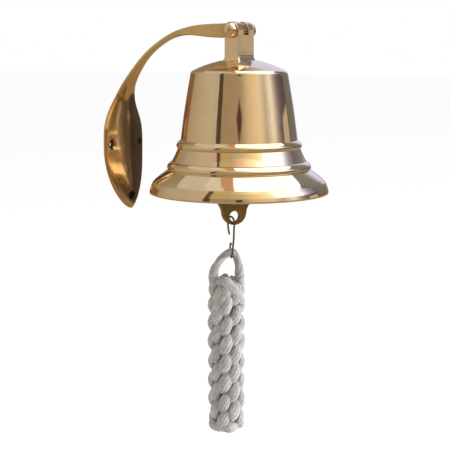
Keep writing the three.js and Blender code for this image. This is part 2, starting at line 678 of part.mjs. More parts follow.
const pieces = [
  ["wall_bracket", wallBracket(), finish.polishedBrass],
  ["bell_shell", bellShell(), finish.polishedBrass],
  ["bell_yoke", yoke(), finish.polishedBrass],
  ["pivot_bolt", pivotBolt(), finish.polishedBrass],
  ["pivot_dome_nut", pivotNut(), finish.polishedBrass],
  ["crown_washer", crownWasher(), finish.castBrass],
  ["crown_nut", crownNut(), finish.castBrass],
  ["clapper_hanger", clapperHanger(), finish.castBrass],
  ["clapper", clapper(), finish.castBrass],
  ["s_hook", sHook(), finish.steelWire],
  ["lanyard_eye", lanyardEye(), finish.cottonRope],
  ["lanyard_braid", lanyardBraid(), finish.cottonRope],
];

const bell = new THREE.Group();
for (const [name, body, look] of pieces) {
  const mesh = new THREE.Mesh(geometryOf(body), new THREE.MeshStandardMaterial(look));
  mesh.name = name;
  bell.add(mesh);
}

export default bell;
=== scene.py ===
"""Blender looks for the ship bell: polished brass, cast clapper, wire hook and rope lanyard."""
import json
import math
import random

import bmesh
import bpy
from mathutils import Matrix, Vector


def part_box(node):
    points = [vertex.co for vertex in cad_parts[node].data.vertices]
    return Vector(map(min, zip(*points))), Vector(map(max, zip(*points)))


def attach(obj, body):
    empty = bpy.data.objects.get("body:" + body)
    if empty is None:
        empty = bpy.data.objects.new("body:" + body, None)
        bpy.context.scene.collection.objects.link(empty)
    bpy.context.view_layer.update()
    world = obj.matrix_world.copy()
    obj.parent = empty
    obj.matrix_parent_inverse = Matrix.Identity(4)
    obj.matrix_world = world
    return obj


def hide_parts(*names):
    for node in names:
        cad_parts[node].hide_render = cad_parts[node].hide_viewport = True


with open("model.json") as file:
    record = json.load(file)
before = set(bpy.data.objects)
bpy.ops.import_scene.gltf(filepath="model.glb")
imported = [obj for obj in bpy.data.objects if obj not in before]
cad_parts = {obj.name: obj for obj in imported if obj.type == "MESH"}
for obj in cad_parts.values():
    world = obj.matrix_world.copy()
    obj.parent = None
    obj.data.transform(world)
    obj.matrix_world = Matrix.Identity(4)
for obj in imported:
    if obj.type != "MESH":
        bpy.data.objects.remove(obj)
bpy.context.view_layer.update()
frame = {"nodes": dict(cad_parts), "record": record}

MM = 0.001
TAU = 2 * math.pi


# ---- Places taken from the frame ----------------------------------------------------------------
def joint(name):
    return next(j for j in frame["record"]["behaviour"]["joints"] if j["name"] == name)


PIVOT = Vector(joint("bell_swing")["pos_m"])
HOOK_SEAT = Vector(joint("hook_swing")["pos_m"])
LOOP_SEAT = Vector(joint("lanyard_swing")["pos_m"])
HOOK_AXIS = Vector(joint("hook_swing")["axis"]).normalized()
LOOP_AXIS = Vector(joint("lanyard_swing")["axis"]).normalized()
LIP_Z = Vector(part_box("bell_shell")[0]).z
UP = Vector((0, 0, 1))


# ---- Camera -------------------------------------------------------------------------------------
AZIMUTH = math.radians(36)
EYE_DISTANCE = 0.946
EYE_Z = 0.080
PITCH = math.radians(8.65)
SIDE_AIM = 0.0119  # the camera aims this far to the left of the bell's axis

camera_data = bpy.data.cameras.new("camera")
camera_data.lens = 89.6
camera_data.sensor_width = 36
camera_data.clip_end = 100
camera = bpy.data.objects.new("camera", camera_data)
bpy.context.scene.collection.objects.link(camera)
to_camera = Vector((math.sin(AZIMUTH), -math.cos(AZIMUTH), 0))
image_right = Vector((math.cos(AZIMUTH), math.sin(AZIMUTH), 0))
camera.location = Vector((PIVOT.x, PIVOT.y, EYE_Z)) + to_camera * EYE_DISTANCE
aim = Vector((PIVOT.x, PIVOT.y, EYE_Z - EYE_DISTANCE * math.tan(PITCH))) - image_right * SIDE_AIM
camera.rotation_euler = (aim - camera.location).to_track_quat("-Z", "Y").to_euler()
bpy.context.scene.camera = camera


# ---- Mesh helpers -------------------------------------------------------------------------------
def catmull(points, steps):
    """Points on a smooth curve through the given ones, steps of them for each stretch."""
    points = [Vector(p) for p in points]
    points = [points[0] * 2 - points[1], *points, points[-1] * 2 - points[-2]]
    out = []
    for a, b, c, d in zip(points, points[1:], points[2:], points[3:]):
        for k in range(steps):
            t = k / steps
            out.append(
                0.5
                * (
                    2 * b
                    + (c - a) * t
                    + (2 * a - 5 * b + 4 * c - d) * t * t
                    + (3 * b - a - 3 * c + d) * t**3
                )
            )
    out.append(points[-2])
    return out


def mesh_object(name, vertices, faces, sharp_over=None):
    """A smooth-shaded object, with its creases over that many degrees kept sharp."""
    mesh = bpy.data.meshes.new(name)
    mesh.from_pydata([tuple(v) for v in vertices], [], faces)
    obj = bpy.data.objects.new(name, mesh)
    bpy.context.scene.collection.objects.link(obj)
    finish_mesh(obj, sharp_over)
    return obj


def finish_mesh(obj, sharp_over=None):
    bm = bmesh.new()
    bm.from_mesh(obj.data)
    bmesh.ops.remove_doubles(bm, verts=bm.verts, dist=1e-6)
    bmesh.ops.recalc_face_normals(bm, faces=bm.faces)
    for face in bm.faces:
        face.smooth = True
    if sharp_over is not None:
        for edge in bm.edges:
            if len(edge.link_faces) == 2:
                edge.smooth = edge.calc_face_angle(0) < math.radians(sharp_over)
    bm.to_mesh(obj.data)
    bm.free()


def lathe(name, profile, sides, sharp_over=30, closed=False):
    """A profile of (radius, height) turned about Z. A radius of 0 makes a pole."""
    vertices, rings, faces = [], [], []
    for radius, height in profile:
        if radius < 1e-7:
            rings.append([len(vertices)] * sides)
            vertices.append((0, 0, height))
            continue
        rings.append(list(range(len(vertices), len(vertices) + sides)))
        for i in range(sides):
            angle = TAU * i / sides
            vertices.append((radius * math.cos(angle), radius * math.sin(angle), height))
    pairs = list(zip(rings, rings[1:]))
    if closed:
        pairs.append((rings[-1], rings[0]))
    for low, high in pairs:
        for i in range(sides):
            j = (i + 1) % sides
            corners = [low[i], low[j], high[j], high[i]]
            faces.append([c for k, c in enumerate(corners) if c not in corners[:k]])
    return mesh_object(name, vertices, faces, sharp_over)


def loft(name, rings, sharp_over=None):
    """A skin over closed rings of equally many points, closed at both ends."""
    count = len(rings[0])
    vertices = [p for ring in rings for p in ring]
    faces = []
    for r in range(len(rings) - 1):
        for i in range(count):
            j = (i + 1) % count
            faces.append([r * count + i, r * count + j, (r + 1) * count + j, (r + 1) * count + i])
    for base in (0, (len(rings) - 1) * count):
        centre = sum((Vector(vertices[base + i]) for i in range(count)), Vector()) / count
        vertices.append(centre)
        for i in range(count):
            faces.append([base + i, base + (i + 1) % count, len(vertices) - 1])
    return mesh_object(name, vertices, faces, sharp_over)


def tube(name, line, radius_at, sides, section=None, turns=0.0):
    """A round bar along a line. section(angle) scales its radius, and turns twists it."""
    rings = []
    normal = None
    for i, point in enumerate(line):
        along = (line[min(i + 1, len(line) - 1)] - line[max(i - 1, 0)]).normalized()
        if normal is None:
            normal = along.orthogonal().normalized()
        normal = (normal - along * normal.dot(along)).normalized()
        across = along.cross(normal)
        share = i / (len(line) - 1)
        ring = []
        for k in range(sides):
            angle = TAU * k / sides
            radius = radius_at(share)
            if section:
                radius *= section(angle - TAU * turns * share)
            shifted = point + normal * radius * math.cos(angle)
            ring.append(shifted + across * radius * math.sin(angle))
        rings.append(ring)
    return loft(name, rings)


def join(name, parts):
    """One mesh object out of several, which are deleted."""
    bm = bmesh.new()
    for part in parts:
        part.data.transform(part.matrix_world)
        bm.from_mesh(part.data)
        bpy.data.objects.remove(part)
    mesh = bpy.data.meshes.new(name)
    bm.to_mesh(mesh)
    bm.free()
    obj = bpy.data.objects.new(name, mesh)
    bpy.context.scene.collection.objects.link(obj)
    return obj


def applied(obj):
    """Turns an object's modifiers into its mesh."""
    bpy.context.view_layer.update()
    seen = obj.evaluated_get(bpy.context.evaluated_depsgraph_get())
    mesh = bpy.data.meshes.new_from_object(seen)
    old = obj.data
    obj.modifiers.clear()
    obj.data = mesh
    mesh.name = obj.name
    bpy.data.meshes.remove(old)


def boolean(obj, tool, operation):
    modifier = obj.modifiers.new(operation, "BOOLEAN")
    modifier.operation = operation
    modifier.object = tool
    modifier.solver = "EXACT"
    applied(obj)
    bpy.data.objects.remove(tool)


def bevel_edges(obj, width):
    """Rounds the edges that turn by more than 35 degrees."""
    modifier = obj.modifiers.new("edges", "BEVEL")
    modifier.width = width
    modifier.segments = 3
    modifier.limit_method = "ANGLE"
    modifier.angle_limit = math.radians(35)
    modifier.harden_normals = True
    applied(obj)
    for polygon in obj.data.polygons:
        polygon.use_smooth = True


def moved(obj, matrix):
    obj.data.transform(matrix)
    return obj


def place(obj, body, slot, material, *nodes):
    """Finishes a piece: its material, its body and the CAD nodes it stands for. Its slot is not
    used.
    """
    obj.data.materials.clear()
    obj.data.materials.append(material)
    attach(obj, body)
    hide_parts(*nodes)


# ---- Materials ----------------------------------------------------------------------------------
class Nodes:
    """Short calls for building a material's nodes."""

    def __init__(self, name):
        self.material = bpy.data.materials.new(name)
        self.material.use_nodes = True
        self.tree = self.material.node_tree
        self.shader = self.tree.nodes["Principled BSDF"]

    def add(self, kind, **sockets):
        node = self.tree.nodes.new(kind)
        for key, value in sockets.items():
            if key in node.inputs:
                node.inputs[key].default_value = value
            else:
                setattr(node, key, value)
        return node

    def link(self, source, target):
        self.tree.links.new(source, target)

    def coordinates(self, scale=(1, 1, 1)):
        texture = self.add("ShaderNodeTexCoord")
        mapping = self.add("ShaderNodeMapping")
        mapping.inputs["Scale"].default_value = scale
        self.link(texture.outputs["Object"], mapping.inputs["Vector"])
        return mapping.outputs["Vector"]

    def noise(self, vector, scale, detail=4.0, roughness=0.55):
        node = self.add("ShaderNodeTexNoise")
        node.inputs["Scale"].default_value = scale
        node.inputs["Detail"].default_value = detail
        node.inputs["Roughness"].default_value = roughness
        self.link(vector, node.inputs["Vector"])
        return node.outputs["Fac"]

    def ramp(self, value, stops):
        node = self.add("ShaderNodeValToRGB")
        elements = node.color_ramp.elements
        while len(elements) < len(stops):
            elements.new(0.5)
        for element, (position, color) in zip(elements, stops):
            element.position = position
            element.color = (*color, 1)
        self.link(value, node.inputs["Fac"])
        return node.outputs["Color"]

    def spread(self, value, low, high):
        """Noise lies mostly between 0.3 and 0.7. This spreads it from low to high."""
        node = self.add("ShaderNodeMapRange")
        node.inputs["From Min"].default_value = 0.3
        node.inputs["From Max"].default_value = 0.7
        node.inputs["To Min"].default_value = low
        node.inputs["To Max"].default_value = high
        self.link(value, node.inputs["Value"])
        return node.outputs["Result"]

    def math(self, operation, first, second):
        node = self.add("ShaderNodeMath", operation=operation)
        for socket, value in zip(node.inputs, (first, second)):
            if isinstance(value, (int, float)):
                socket.default_value = value
            else:
                self.link(value, socket)
        return node.outputs["Value"]

    def bump(self, height, strength, distance):
        node = self.add("ShaderNodeBump")
        node.inputs["Strength"].default_value = strength
        node.inputs["Distance"].default_value = distance
        self.link(height, node.inputs["Height"])
        self.link(node.outputs["Normal"], self.shader.inputs["Normal"])


def brass(name, light, deep, rough, scratch_scale, bump_distance, spots=0.0, wobble=0.0):
    """Brass with polishing lines, faint smears, and a dark brown where the mesh is marked: painted
    shade, partly unpolished.

    light and deep are its two tones, rough is its least and most roughness, scratch_scale says
    which way the polishing lines run, and wobble is how far the polish waves."""
    n = Nodes(name)
    n.shader.inputs["Metallic"].default_value = 1.0
    plain = n.coordinates()
    lines = n.coordinates(scratch_scale)
    cloud = n.noise(plain, 28, 5)
    smear = n.noise(plain, 75, 6, 0.62)
    fine = n.noise(lines, 900, 3, 0.6)
    colour = n.ramp(cloud, [(0.28, deep), (0.62, light)])
    stain = n.ramp(n.noise(plain, 46, 7, 0.7), [(0.60, (1, 1, 1)), (0.74, (0.70, 0.58, 0.46))])
    mix = n.add("ShaderNodeMix", data_type="RGBA", blend_type="MULTIPLY")
    mix.inputs["Factor"].default_value = 0.55
    n.link(colour, mix.inputs["A"])
    n.link(stain, mix.inputs["B"])
    # Painted shade: the mark darkens the screw holes, the slot and the plate's far half; the bores
    # are also unpolished.
    shade_and_unpolished = n.add("ShaderNodeAttribute", attribute_name="shade_and_unpolished").outputs["Fac"]
    shade_and_dull = n.add("ShaderNodeMix", data_type="RGBA")
    shade_and_dull.inputs["B"].default_value = (0.045, 0.030, 0.018, 1)
    n.link(shade_and_unpolished, shade_and_dull.inputs["Factor"])
    n.link(mix.outputs["Result"], shade_and_dull.inputs["A"])
    n.link(shade_and_dull.outputs["Result"], n.shader.inputs["Base Color"])
    roughness = n.math("ADD", n.spread(smear, *rough), n.spread(fine, 0.0, 0.25 * rough[1]))
    n.link(roughness, n.shader.inputs["Roughness"])
    if spots:
        pits = n.noise(plain, 420, 3)
        height = n.math("ADD", n.math("MULTIPLY", pits, spots), fine)
    else:
        height = fine
    if wobble:
        height = n.math("ADD", height, n.math("MULTIPLY", n.noise(plain, 30, 2), wobble))
    n.bump(height, 0.35, bump_distance)
    return n.material


BELL_BRASS = brass(
    "bell_brass",
    (0.90, 0.75, 0.55),
    (0.84, 0.67, 0.44),
    (0.03, 0.09),
    (0.02, 0.02, 1.0),
    0.00002,
    wobble=14,
)
YOKE_BRASS = brass(
    "yoke_brass",
    (0.88, 0.72, 0.50),
    (0.78, 0.60, 0.38),
    (0.07, 0.16),
    (1, 1, 0.15),
    0.00003,
    wobble=10,
)
POLISHED_BRASS = brass(
    "polished_brass",
    (0.77, 0.55, 0.28),
    (0.58, 0.37, 0.15),
    (0.06, 0.15),
    (1, 1, 0.15),
    0.00003,
    wobble=14,
)
CAST_BRASS = brass(
    "cast_brass",
    (0.40, 0.29, 0.12),
    (0.24, 0.17, 0.07),
    (0.20, 0.34),
    (1, 1, 1),
    0.00012,
    spots=1.6,
)
HOOK_WIRE = brass(
    "hook_wire", (0.25, 0.20, 0.14), (0.13, 0.10, 0.07), (0.20, 0.38), (1, 1, 0.1), 0.00003
)


def rope_material():
    """Cotton with painted shade in the grooves between its yarns, specks of fuzz, and painted shade
    deep in the braid.
    """
    n = Nodes("cotton_rope")
    n.shader.inputs["Roughness"].default_value = 0.92
    n.shader.inputs["Sheen Weight"].default_value = 0.35
    n.shader.inputs["Sheen Roughness"].default_value = 0.5
    yarn = n.add("ShaderNodeAttribute", attribute_name="yarn").outputs["Fac"]
    plain = n.coordinates()
    fuzz = n.noise(plain, 1400, 4, 0.7)
    cloud = n.noise(plain, 90, 4)
    tint = n.ramp(cloud, [(0.3, (0.29, 0.26, 0.235)), (0.7, (0.42, 0.39, 0.36))])
    # Painted shade: the low parts of each strand and yarn are darkened.
    shade = n.ramp(yarn, [(0.0, (0.42, 0.38, 0.34)), (0.4, (0.95, 0.95, 0.95)), (1.0, (1, 1, 1))])
    specks = n.noise(plain, 900, 3, 0.7)
    speckle = n.ramp(specks, [(0.36, (0.55, 0.53, 0.51)), (0.60, (1.12, 1.12, 1.12))])
    mix = n.add("ShaderNodeMix", data_type="RGBA", blend_type="MULTIPLY")
    mix.inputs["Factor"].default_value = 1.0
    n.link(tint, mix.inputs["A"])
    n.link(shade, mix.inputs["B"])
    outside = n.add("ShaderNodeAttribute", attribute_name="outside").outputs["Fac"]
    # Painted shade: vertices deep in the braid are darkened towards grey-brown.
    gap_shade = n.add("ShaderNodeMix", data_type="RGBA", blend_type="MULTIPLY")
    gap_shade.inputs["Factor"].default_value = 1.0
    n.link(mix.outputs["Result"], gap_shade.inputs["A"])
    n.link(n.ramp(outside, [(0.0, (0.30, 0.27, 0.25)), (0.9, (1, 1, 1))]), gap_shade.inputs["B"])
    speckled = n.add("ShaderNodeMix", data_type="RGBA", blend_type="MULTIPLY")
    speckled.inputs["Factor"].default_value = 0.8
    n.link(gap_shade.outputs["Result"], speckled.inputs["A"])
    n.link(speckle, speckled.inputs["B"])
    n.link(speckled.outputs["Result"], n.shader.inputs["Base Color"])
    n.bump(n.math("ADD", fuzz, yarn), 0.8, 0.0005)
    return n.material


ROPE = rope_material()


# ---- Lanyard ------------------------------------------------------------------------------------
ROPE_RADIUS = 4.1 * MM
ROPE_TOP_RADIUS = 3.1 * MM
across_loop = UP.cross(LOOP_AXIS).normalized()
EYE_HIGH = Vector(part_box("lanyard_eye")[1])
BRAID_LOW, BRAID_HIGH = (Vector(corner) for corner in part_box("lanyard_braid"))
BRAID_MIDDLE = (BRAID_LOW + BRAID_HIGH) / 2
BRAID_TOP = BRAID_HIGH.z
BRAID_BOTTOM = BRAID_LOW.z
EYE_TOP = EYE_HIGH.z - ROPE_TOP_RADIUS
EYE_LEFT = 15.2 * MM  # how far each leg of the eye stands from the hook's line
EYE_RIGHT = 7.4 * MM
EYE_LAY = 34 * MM  # one full turn of the rope's strands
EYE_STRANDS = 3
EYE_YARNS = 15
EYE_SIDES = 72
GROOVE_MARGIN = 1.06  # the grooves between its strands make the rope thinner again
LEG_DEPTH = 20 * MM  # the eye's legs run on down into the braid


def lanyard_point(side, z):
    return Vector((LOOP_SEAT.x, LOOP_SEAT.y, 0)) + across_loop * side + UP * z


def mark_yarns(obj, values):
    """Stores how high each vertex stands on its yarn; the rope material paints shade into the low
    ones.
    """
    layer = obj.data.attributes.new("yarn", "FLOAT", "POINT")
    layer.data.foreach_set("value", values)


def rope(name, line, radius_at, sides, turns, strands, depth, yarns=0):
    """A rope whose outline has a lobe for each strand, and a fine ridge for each yarn."""

    def lobe(angle):
        height = abs(math.cos(strands * angle / 2)) ** 0.7
        if yarns:
            height = 0.72 * height + 0.28 * abs(math.cos(yarns * angle / 2)) ** 0.8
        return height

    obj = tube(name, line, radius_at, sides, lambda angle: 1 - depth + depth * lobe(angle), turns)
    # How high each vertex stands on its lobe: the rope material paints the low ones in shade.
    values = []
    for i in range(len(line)):
        for k in range(sides):
            values.append(lobe(TAU * k / sides - TAU * turns * i / (len(line) - 1)))
    values += [1.0] * (len(obj.data.vertices) - len(values))
    mark_yarns(obj, values)
    return obj


def lanyard_eye():
    foot = BRAID_TOP + 0.6 * MM
    rise = EYE_TOP - foot
    left = (1, 1, 0.86, 0.46)
    right = (0.6, 0.9, 1, 1)
    heights = (0, 0.12, 0.45, 0.8)
    half_way = foot - LEG_DEPTH / 2
    points = [lanyard_point(-EYE_LEFT * 0.75, foot - LEG_DEPTH)]
    points.append(lanyard_point(-EYE_LEFT * 0.93, half_way))
    points += [lanyard_point(-s * EYE_LEFT, foot + h * rise) for s, h in zip(left, heights)]
    points.append(lanyard_point(0, EYE_TOP))
    points += [lanyard_point(s * EYE_RIGHT, foot + h * rise) for s, h in zip(right, heights[::-1])]
    points.append(lanyard_point(EYE_RIGHT, half_way))
    points.append(lanyard_point(EYE_RIGHT * 0.85, foot - LEG_DEPTH))
    line = catmull(points, 12)
    long = sum((b - a).length for a, b in zip(line, line[1:]))

    def radius_at(share):
        z = line[min(len(line) - 1, round(share * (len(line) - 1)))].z
        lift = min(1.0, max(0.0, 2 * (z - foot) / rise))
        return (ROPE_RADIUS + (ROPE_TOP_RADIUS - ROPE_RADIUS) * lift**2) * GROOVE_MARGIN

    turns = long / EYE_LAY
    obj = rope("lanyard_eye_rope", line, radius_at, EYE_SIDES, turns, EYE_STRANDS, 0.17, EYE_YARNS)
    layer = obj.data.attributes.new("outside", "FLOAT", "POINT")
    layer.data.foreach_set("value", [1.0] * len(obj.data.vertices))
    return obj, line, long


ROW_PITCH = 8.5 * MM
LOBE_LENGTH = 19 * MM
LOBE_RADIUS = 5.3 * MM
LOBES_A_ROW = 4
DRIFT = math.radians(1.2)  # each row turns on by this much
LEAN = math.radians(17)
LOBE_YARNS = 11
LOBE_SIDES = 44
YARN_DEPTH = 0.06
END_TAPER = 16 * MM  # the braid narrows over this much at each end
END_MARGIN = 11 * MM  # the lowest row's middle is this far above the braid's bottom
UNSHADED_END = 9 * MM  # the gaps get painted shade, but not this near to each end


def short_strand(seed, line, radius_at, turns):
    """A piece of the braid's rope, with its yarns."""
    return rope(f"lobe_{seed}", line, radius_at, LOBE_SIDES, turns, LOBE_YARNS, YARN_DEPTH)


def braid_lobe(angle, z, centre, outer, length, size, seed):
    """One visible tuck of a strand: it comes out of the braid, runs up and leans, and dives in."""
    rng = random.Random(seed)
    wobble = math.radians(rng.uniform(-5, 5))
    lift = rng.uniform(-0.7, 0.7) * MM
    points = []
    for share, depth in ((-0.5, 0.22), (-0.34, 0.74), (-0.05, 1.0), (0.28, 0.86), (0.5, 0.30)):
        turn = angle + wobble + 2 * share * LEAN
        reach = outer * depth
        height = z + lift + share * length
        points.append(centre + Vector((reach * math.cos(turn), reach * math.sin(turn), height)))
    line = catmull(points, 6)
    bulge = size * rng.uniform(0.93, 1.05)

    def radius_at(share):
        return bulge * (0.52 + 0.48 * math.sin(math.pi * min(1, share * 1.06)) ** 0.75)

    return short_strand(seed, line, radius_at, 0.30)


def lanyard_braid():
    centre = Vector((BRAID_MIDDLE.x, BRAID_MIDDLE.y, 0))
    facing = math.atan2(to_camera.y, to_camera.x)
    rows = int((BRAID_TOP - BRAID_BOTTOM - 14 * MM) / ROW_PITCH)
    parts = []
    seed = 0
    reach = (BRAID_HIGH.x - BRAID_LOW.x) / 2
    for row in range(rows + 1):
        z = min(BRAID_BOTTOM + END_MARGIN + row * ROW_PITCH, BRAID_TOP - LOBE_LENGTH / 2)
        near_top = max(0.0, 1 - (BRAID_TOP - z) / END_TAPER)
        near_bottom = max(0.0, 1 - (z - BRAID_BOTTOM) / END_TAPER)
        outer = (reach - LOBE_RADIUS * 0.98) * (1 - 0.12 * near_top - 0.10 * near_bottom)
        for j in range(LOBES_A_ROW):
            angle = facing + math.radians(-10) + DRIFT * row
            angle += TAU * (j + 0.5 * (row % 2)) / LOBES_A_ROW
            seed += 1
            parts.append(braid_lobe(angle, z, centre, outer, LOBE_LENGTH, LOBE_RADIUS, seed))
    # At the top, two strands cross over the front from under the eye.
    for side, front, drop, size in (
        ((-8, -2.5, 5, 10, 12), (2, 10.5, 12.6, 10, 5), (4, 1, 6.5, 14, 21), 1.0),
        ((3, -1, -5, -9, -11.5), (8, 11.8, 11.6, 9, 5), (9, 12, 18, 24, 29), 0.84),
    ):
        seed += 1
        points = [
            centre + across_loop * s * MM + to_camera * f * 0.9 * MM + UP * (BRAID_TOP - d * MM)
            for s, f, d in zip(side, front, drop)
        ]

        def crossing_radius(share, size=size):
            return size * LOBE_RADIUS * (0.58 + 0.26 * math.sin(math.pi * share))

        parts.append(short_strand(seed, catmull(points, 9), crossing_radius, 0.8))
    # The last tucks fold under the bottom.
    def folded_radius(share):
        return LOBE_RADIUS * (0.7 + 0.25 * math.sin(math.pi * share))

    for j in range(LOBES_A_ROW):
        angle = facing + TAU * (j + 0.3) / LOBES_A_ROW
        seed += 1
        points = []
        for turn, r, z in ((-0.9, 10.5, 7), (-0.35, 11, 5.4), (0.25, 8, 4.4), (0.9, 2.5, 4.6)):
            x, y = r * MM * math.cos(angle + turn), r * MM * math.sin(angle + turn)
            points.append(centre + Vector((x, y, BRAID_BOTTOM + z * MM)))
        parts.append(short_strand(seed, catmull(points, 7), folded_radius, 0.4))
    core = [(r * MM, BRAID_BOTTOM + rise * MM) for r, rise in ((0, 4), (6, 5), (9, 12))]
    core += [(r * MM, BRAID_TOP - drop * MM) for r, drop in ((9.5, 8), (6, 2), (0, 1.5))]
    heart = moved(lathe("heart", core, 32), Matrix.Translation(centre))
    # Painted shade: the heart counts as a groove bottom all over, so it is painted dark.
    mark_yarns(heart, [0.0] * len(heart.data.vertices))
    whole = join("lanyard_braid_rope", parts + [heart])
    shade_depths(whole, centre, reach)
    return whole


def shade_depths(obj, centre, reach):
    """Stores how near the outside each vertex is: the rope material paints shade into the gaps
    between the tucks.
    """
    layer = obj.data.attributes.new("outside", "FLOAT", "POINT")
    values = []
    for vertex in obj.data.vertices:
        radial = math.hypot(vertex.co.x - centre.x, vertex.co.y - centre.y) / reach
        low_end = (BRAID_BOTTOM + UNSHADED_END - vertex.co.z) / UNSHADED_END
        high_end = (vertex.co.z - BRAID_TOP + UNSHADED_END) / (8 * MM)
        end = min(1.0, max(0.0, low_end, high_end))
        values.append(min(1.0, max(0.0, (radial - 0.60) / 0.24) + end))
    layer.data.foreach_set("value", values)


eye, eye_line, eye_length = lanyard_eye()
braid = lanyard_braid()
place(eye, "lanyard", "cotton_rope", ROPE, "lanyard_eye")
place(braid, "lanyard", "cotton_rope", ROPE, "lanyard_braid")

# ---- Bell shell ---------------------------------------------------------------------------------
LIP = 75.9  # millimetres, as the CAD profile
CROWN_EDGE = 40.0
BELL_HEIGHT = 111.2
WAIST_BASE = LIP - 26.6
LOWER_GROOVE = LIP - 15.9
UPPER_GROOVE = LIP - 24.2
BEAD_HEIGHT = 7.0
LOWER_BEAD = 20.3
UPPER_BEAD = 38.0


def run(points, steps):
    """A smooth stretch of a profile, in millimetres, without its last point."""
    return [(p.x, p.y) for p in catmull([(x, y, 0) for x, y in points], steps)][:-1]


def bead(base, low, high, bulge):
    shares = [i / 18 for i in range(18)]
    return [
        (low + (high - low) * s + bulge * math.sin(math.pi * s) ** 0.85, base + BEAD_HEIGHT * s)
        for s in shares
    ]


def bell_profile():
    edge_z = BELL_HEIGHT - 9.6
    waist_top = edge_z - 2.6
    waist_low = UPPER_BEAD + BEAD_HEIGHT
    waist = []
    for i in range(24):
        s = i / 24
        radius = WAIST_BASE + (CROWN_EDGE + 1 - WAIST_BASE) * s + 0.5 * math.sin(math.pi * s)
        waist.append((radius, waist_low + (waist_top - waist_low) * s))
    outside = run([(LIP - 1.3, 0), (LIP - 0.35, 0.35), (LIP, 1.5)], 4)
    outside += run([(LIP, 1.5), (LIP - 0.5, 4), (LIP - 1.5, 6.8), (LIP - 2.7, 9.3)], 6)
    outside += run([(LIP - 2.7, 9.3), (LIP - 2.95, 9.75), (LIP - 3.4, 10.2)], 2)
    flare = ((3.4, 10.2), (5.6, 12.4), (8.9, 15.1), (12.2, 17.6), (15.2, 19.8))
    outside += run([(LIP - inset, z) for inset, z in flare], 6)
    outside += run([(LIP - 15.2, 19.8), (LIP - 15.8, 20.1), (LOWER_GROOVE, LOWER_BEAD)], 2)
    outside += bead(LOWER_BEAD, LOWER_GROOVE, LOWER_GROOVE - 3.2, 2.2)
    outside += run(
        [
            (LOWER_GROOVE - 3.3, LOWER_BEAD + BEAD_HEIGHT),
            (LOWER_GROOVE - 5, 30.6),
            (LOWER_GROOVE - 6.6, 34),
            (UPPER_GROOVE + 0.1, UPPER_BEAD - 0.3),
        ],
        6,
    )
    outside += bead(UPPER_BEAD, UPPER_GROOVE, UPPER_GROOVE - 2.4, 2.3)
    outside += waist
    outside += run(
        [
            (CROWN_EDGE + 1, waist_top),
            (CROWN_EDGE + 0.75, edge_z - 0.9),
            (CROWN_EDGE + 0.2, edge_z + 0.2),
            (CROWN_EDGE - 0.9, edge_z + 1.1),
            (CROWN_EDGE - 2.4, edge_z + 1.9),
        ],
        6,
    )
    outside += run(
        [
            (CROWN_EDGE - 2.4, edge_z + 1.9),
            (CROWN_EDGE - 7, edge_z + 4.0),
            (CROWN_EDGE - 14, edge_z + 6.6),
            (19, BELL_HEIGHT - 1),
            (16, BELL_HEIGHT),
        ],
        6,
    )
    inside = [(4.3, BELL_HEIGHT), (4.3, BELL_HEIGHT - 5.2), (14, BELL_HEIGHT - 5.2)]
    inside += run(
        [
            (14, BELL_HEIGHT - 5.2),
            (CROWN_EDGE - 9, edge_z - 4),
            (CROWN_EDGE - 4, edge_z - 8),
            (WAIST_BASE - 4, waist_low),
            (UPPER_GROOVE - 4, 33),
            (LOWER_GROOVE - 6, 22),
            (LIP - 13.4, 9),
            (LIP - 7.4, 1),
        ],
        6,
    )
    inside += [(LIP - 7.2, 0.6), (LIP - 6.6, 0.1), (LIP - 6.0, 0)]
    return outside + inside


def bell_shell():
    profile = [(r * MM, z * MM) for r, z in bell_profile()]
    bell = lathe("bell_shell_turned", profile, 288, 24, closed=True)
    return moved(bell, Matrix.Translation((PIVOT.x, PIVOT.y, LIP_Z)))


place(bell_shell(), "bell", "bell_brass", BELL_BRASS, "bell_shell")

# ---- Bracket ------------------------------------------------------------------------------------
PLATE_HALF = 25.6
PLATE_CROWN = 8.5
PLATE_EDGE = 3.0
PLATE_TOP = 38.0
PLATE_BOTTOM = -59.0
PLATE_STEPS = 60
SCREW_HOLES = ((-18.5, 0), (18.5, 0), (0, -47))
SCREW_RADIUS = 2.4
COUNTERSINK_RADIUS = 4.6
TONGUE_BORE = 3.35
TONGUE_EYE = 6.2  # the radius of the eye around that bore
TONGUE_HALF = 3.1
KEEL = 0.75  # how far the leaf's front comes to a ridge rather than a round crown
# The arm's stations from the pivot: along X, along Z, half width, thickness.
ARM = [
    (0, 0, TONGUE_HALF, 12.4),
    (-15, -0.1, TONGUE_HALF, 12),
    (-26.6, 0.1, TONGUE_HALF, 11.4),
    (-37.5, 0.4, TONGUE_HALF, 10),
    (-47, 0.4, TONGUE_HALF, 8.2),
    (-55.7, -0.2, TONGUE_HALF, 6.4),
    (-65, -1.7, TONGUE_HALF, 4.8),
    (-75.5, -5.1, TONGUE_HALF, 3.8),
    (-85.3, -10, 3.2, 3.5),
    (-94.6, -15.8, 3.5, 3.5),
    (-104.4, -23.8, 4.1, 3.6),
    (-113.4, -33.6, 5.3, 3.9),
    (-120.4, -42.6, 6.8, 4.2),
    (-125.8, -51.4, 9, 4.8),
]


def leaf_half_width(z):
    above = z > 0
    reach = PLATE_TOP * 1.22 if above else -PLATE_BOTTOM
    share = min(1.0, abs(z) / reach)
    return PLATE_HALF * (1 - share ** (2.9 if above else 2.35)) ** (0.86 if above else 0.72)


def curl(z):
    share = max(0.0, (-8 - z) / (-8 - PLATE_BOTTOM))
    return 7.0 * share**1.45


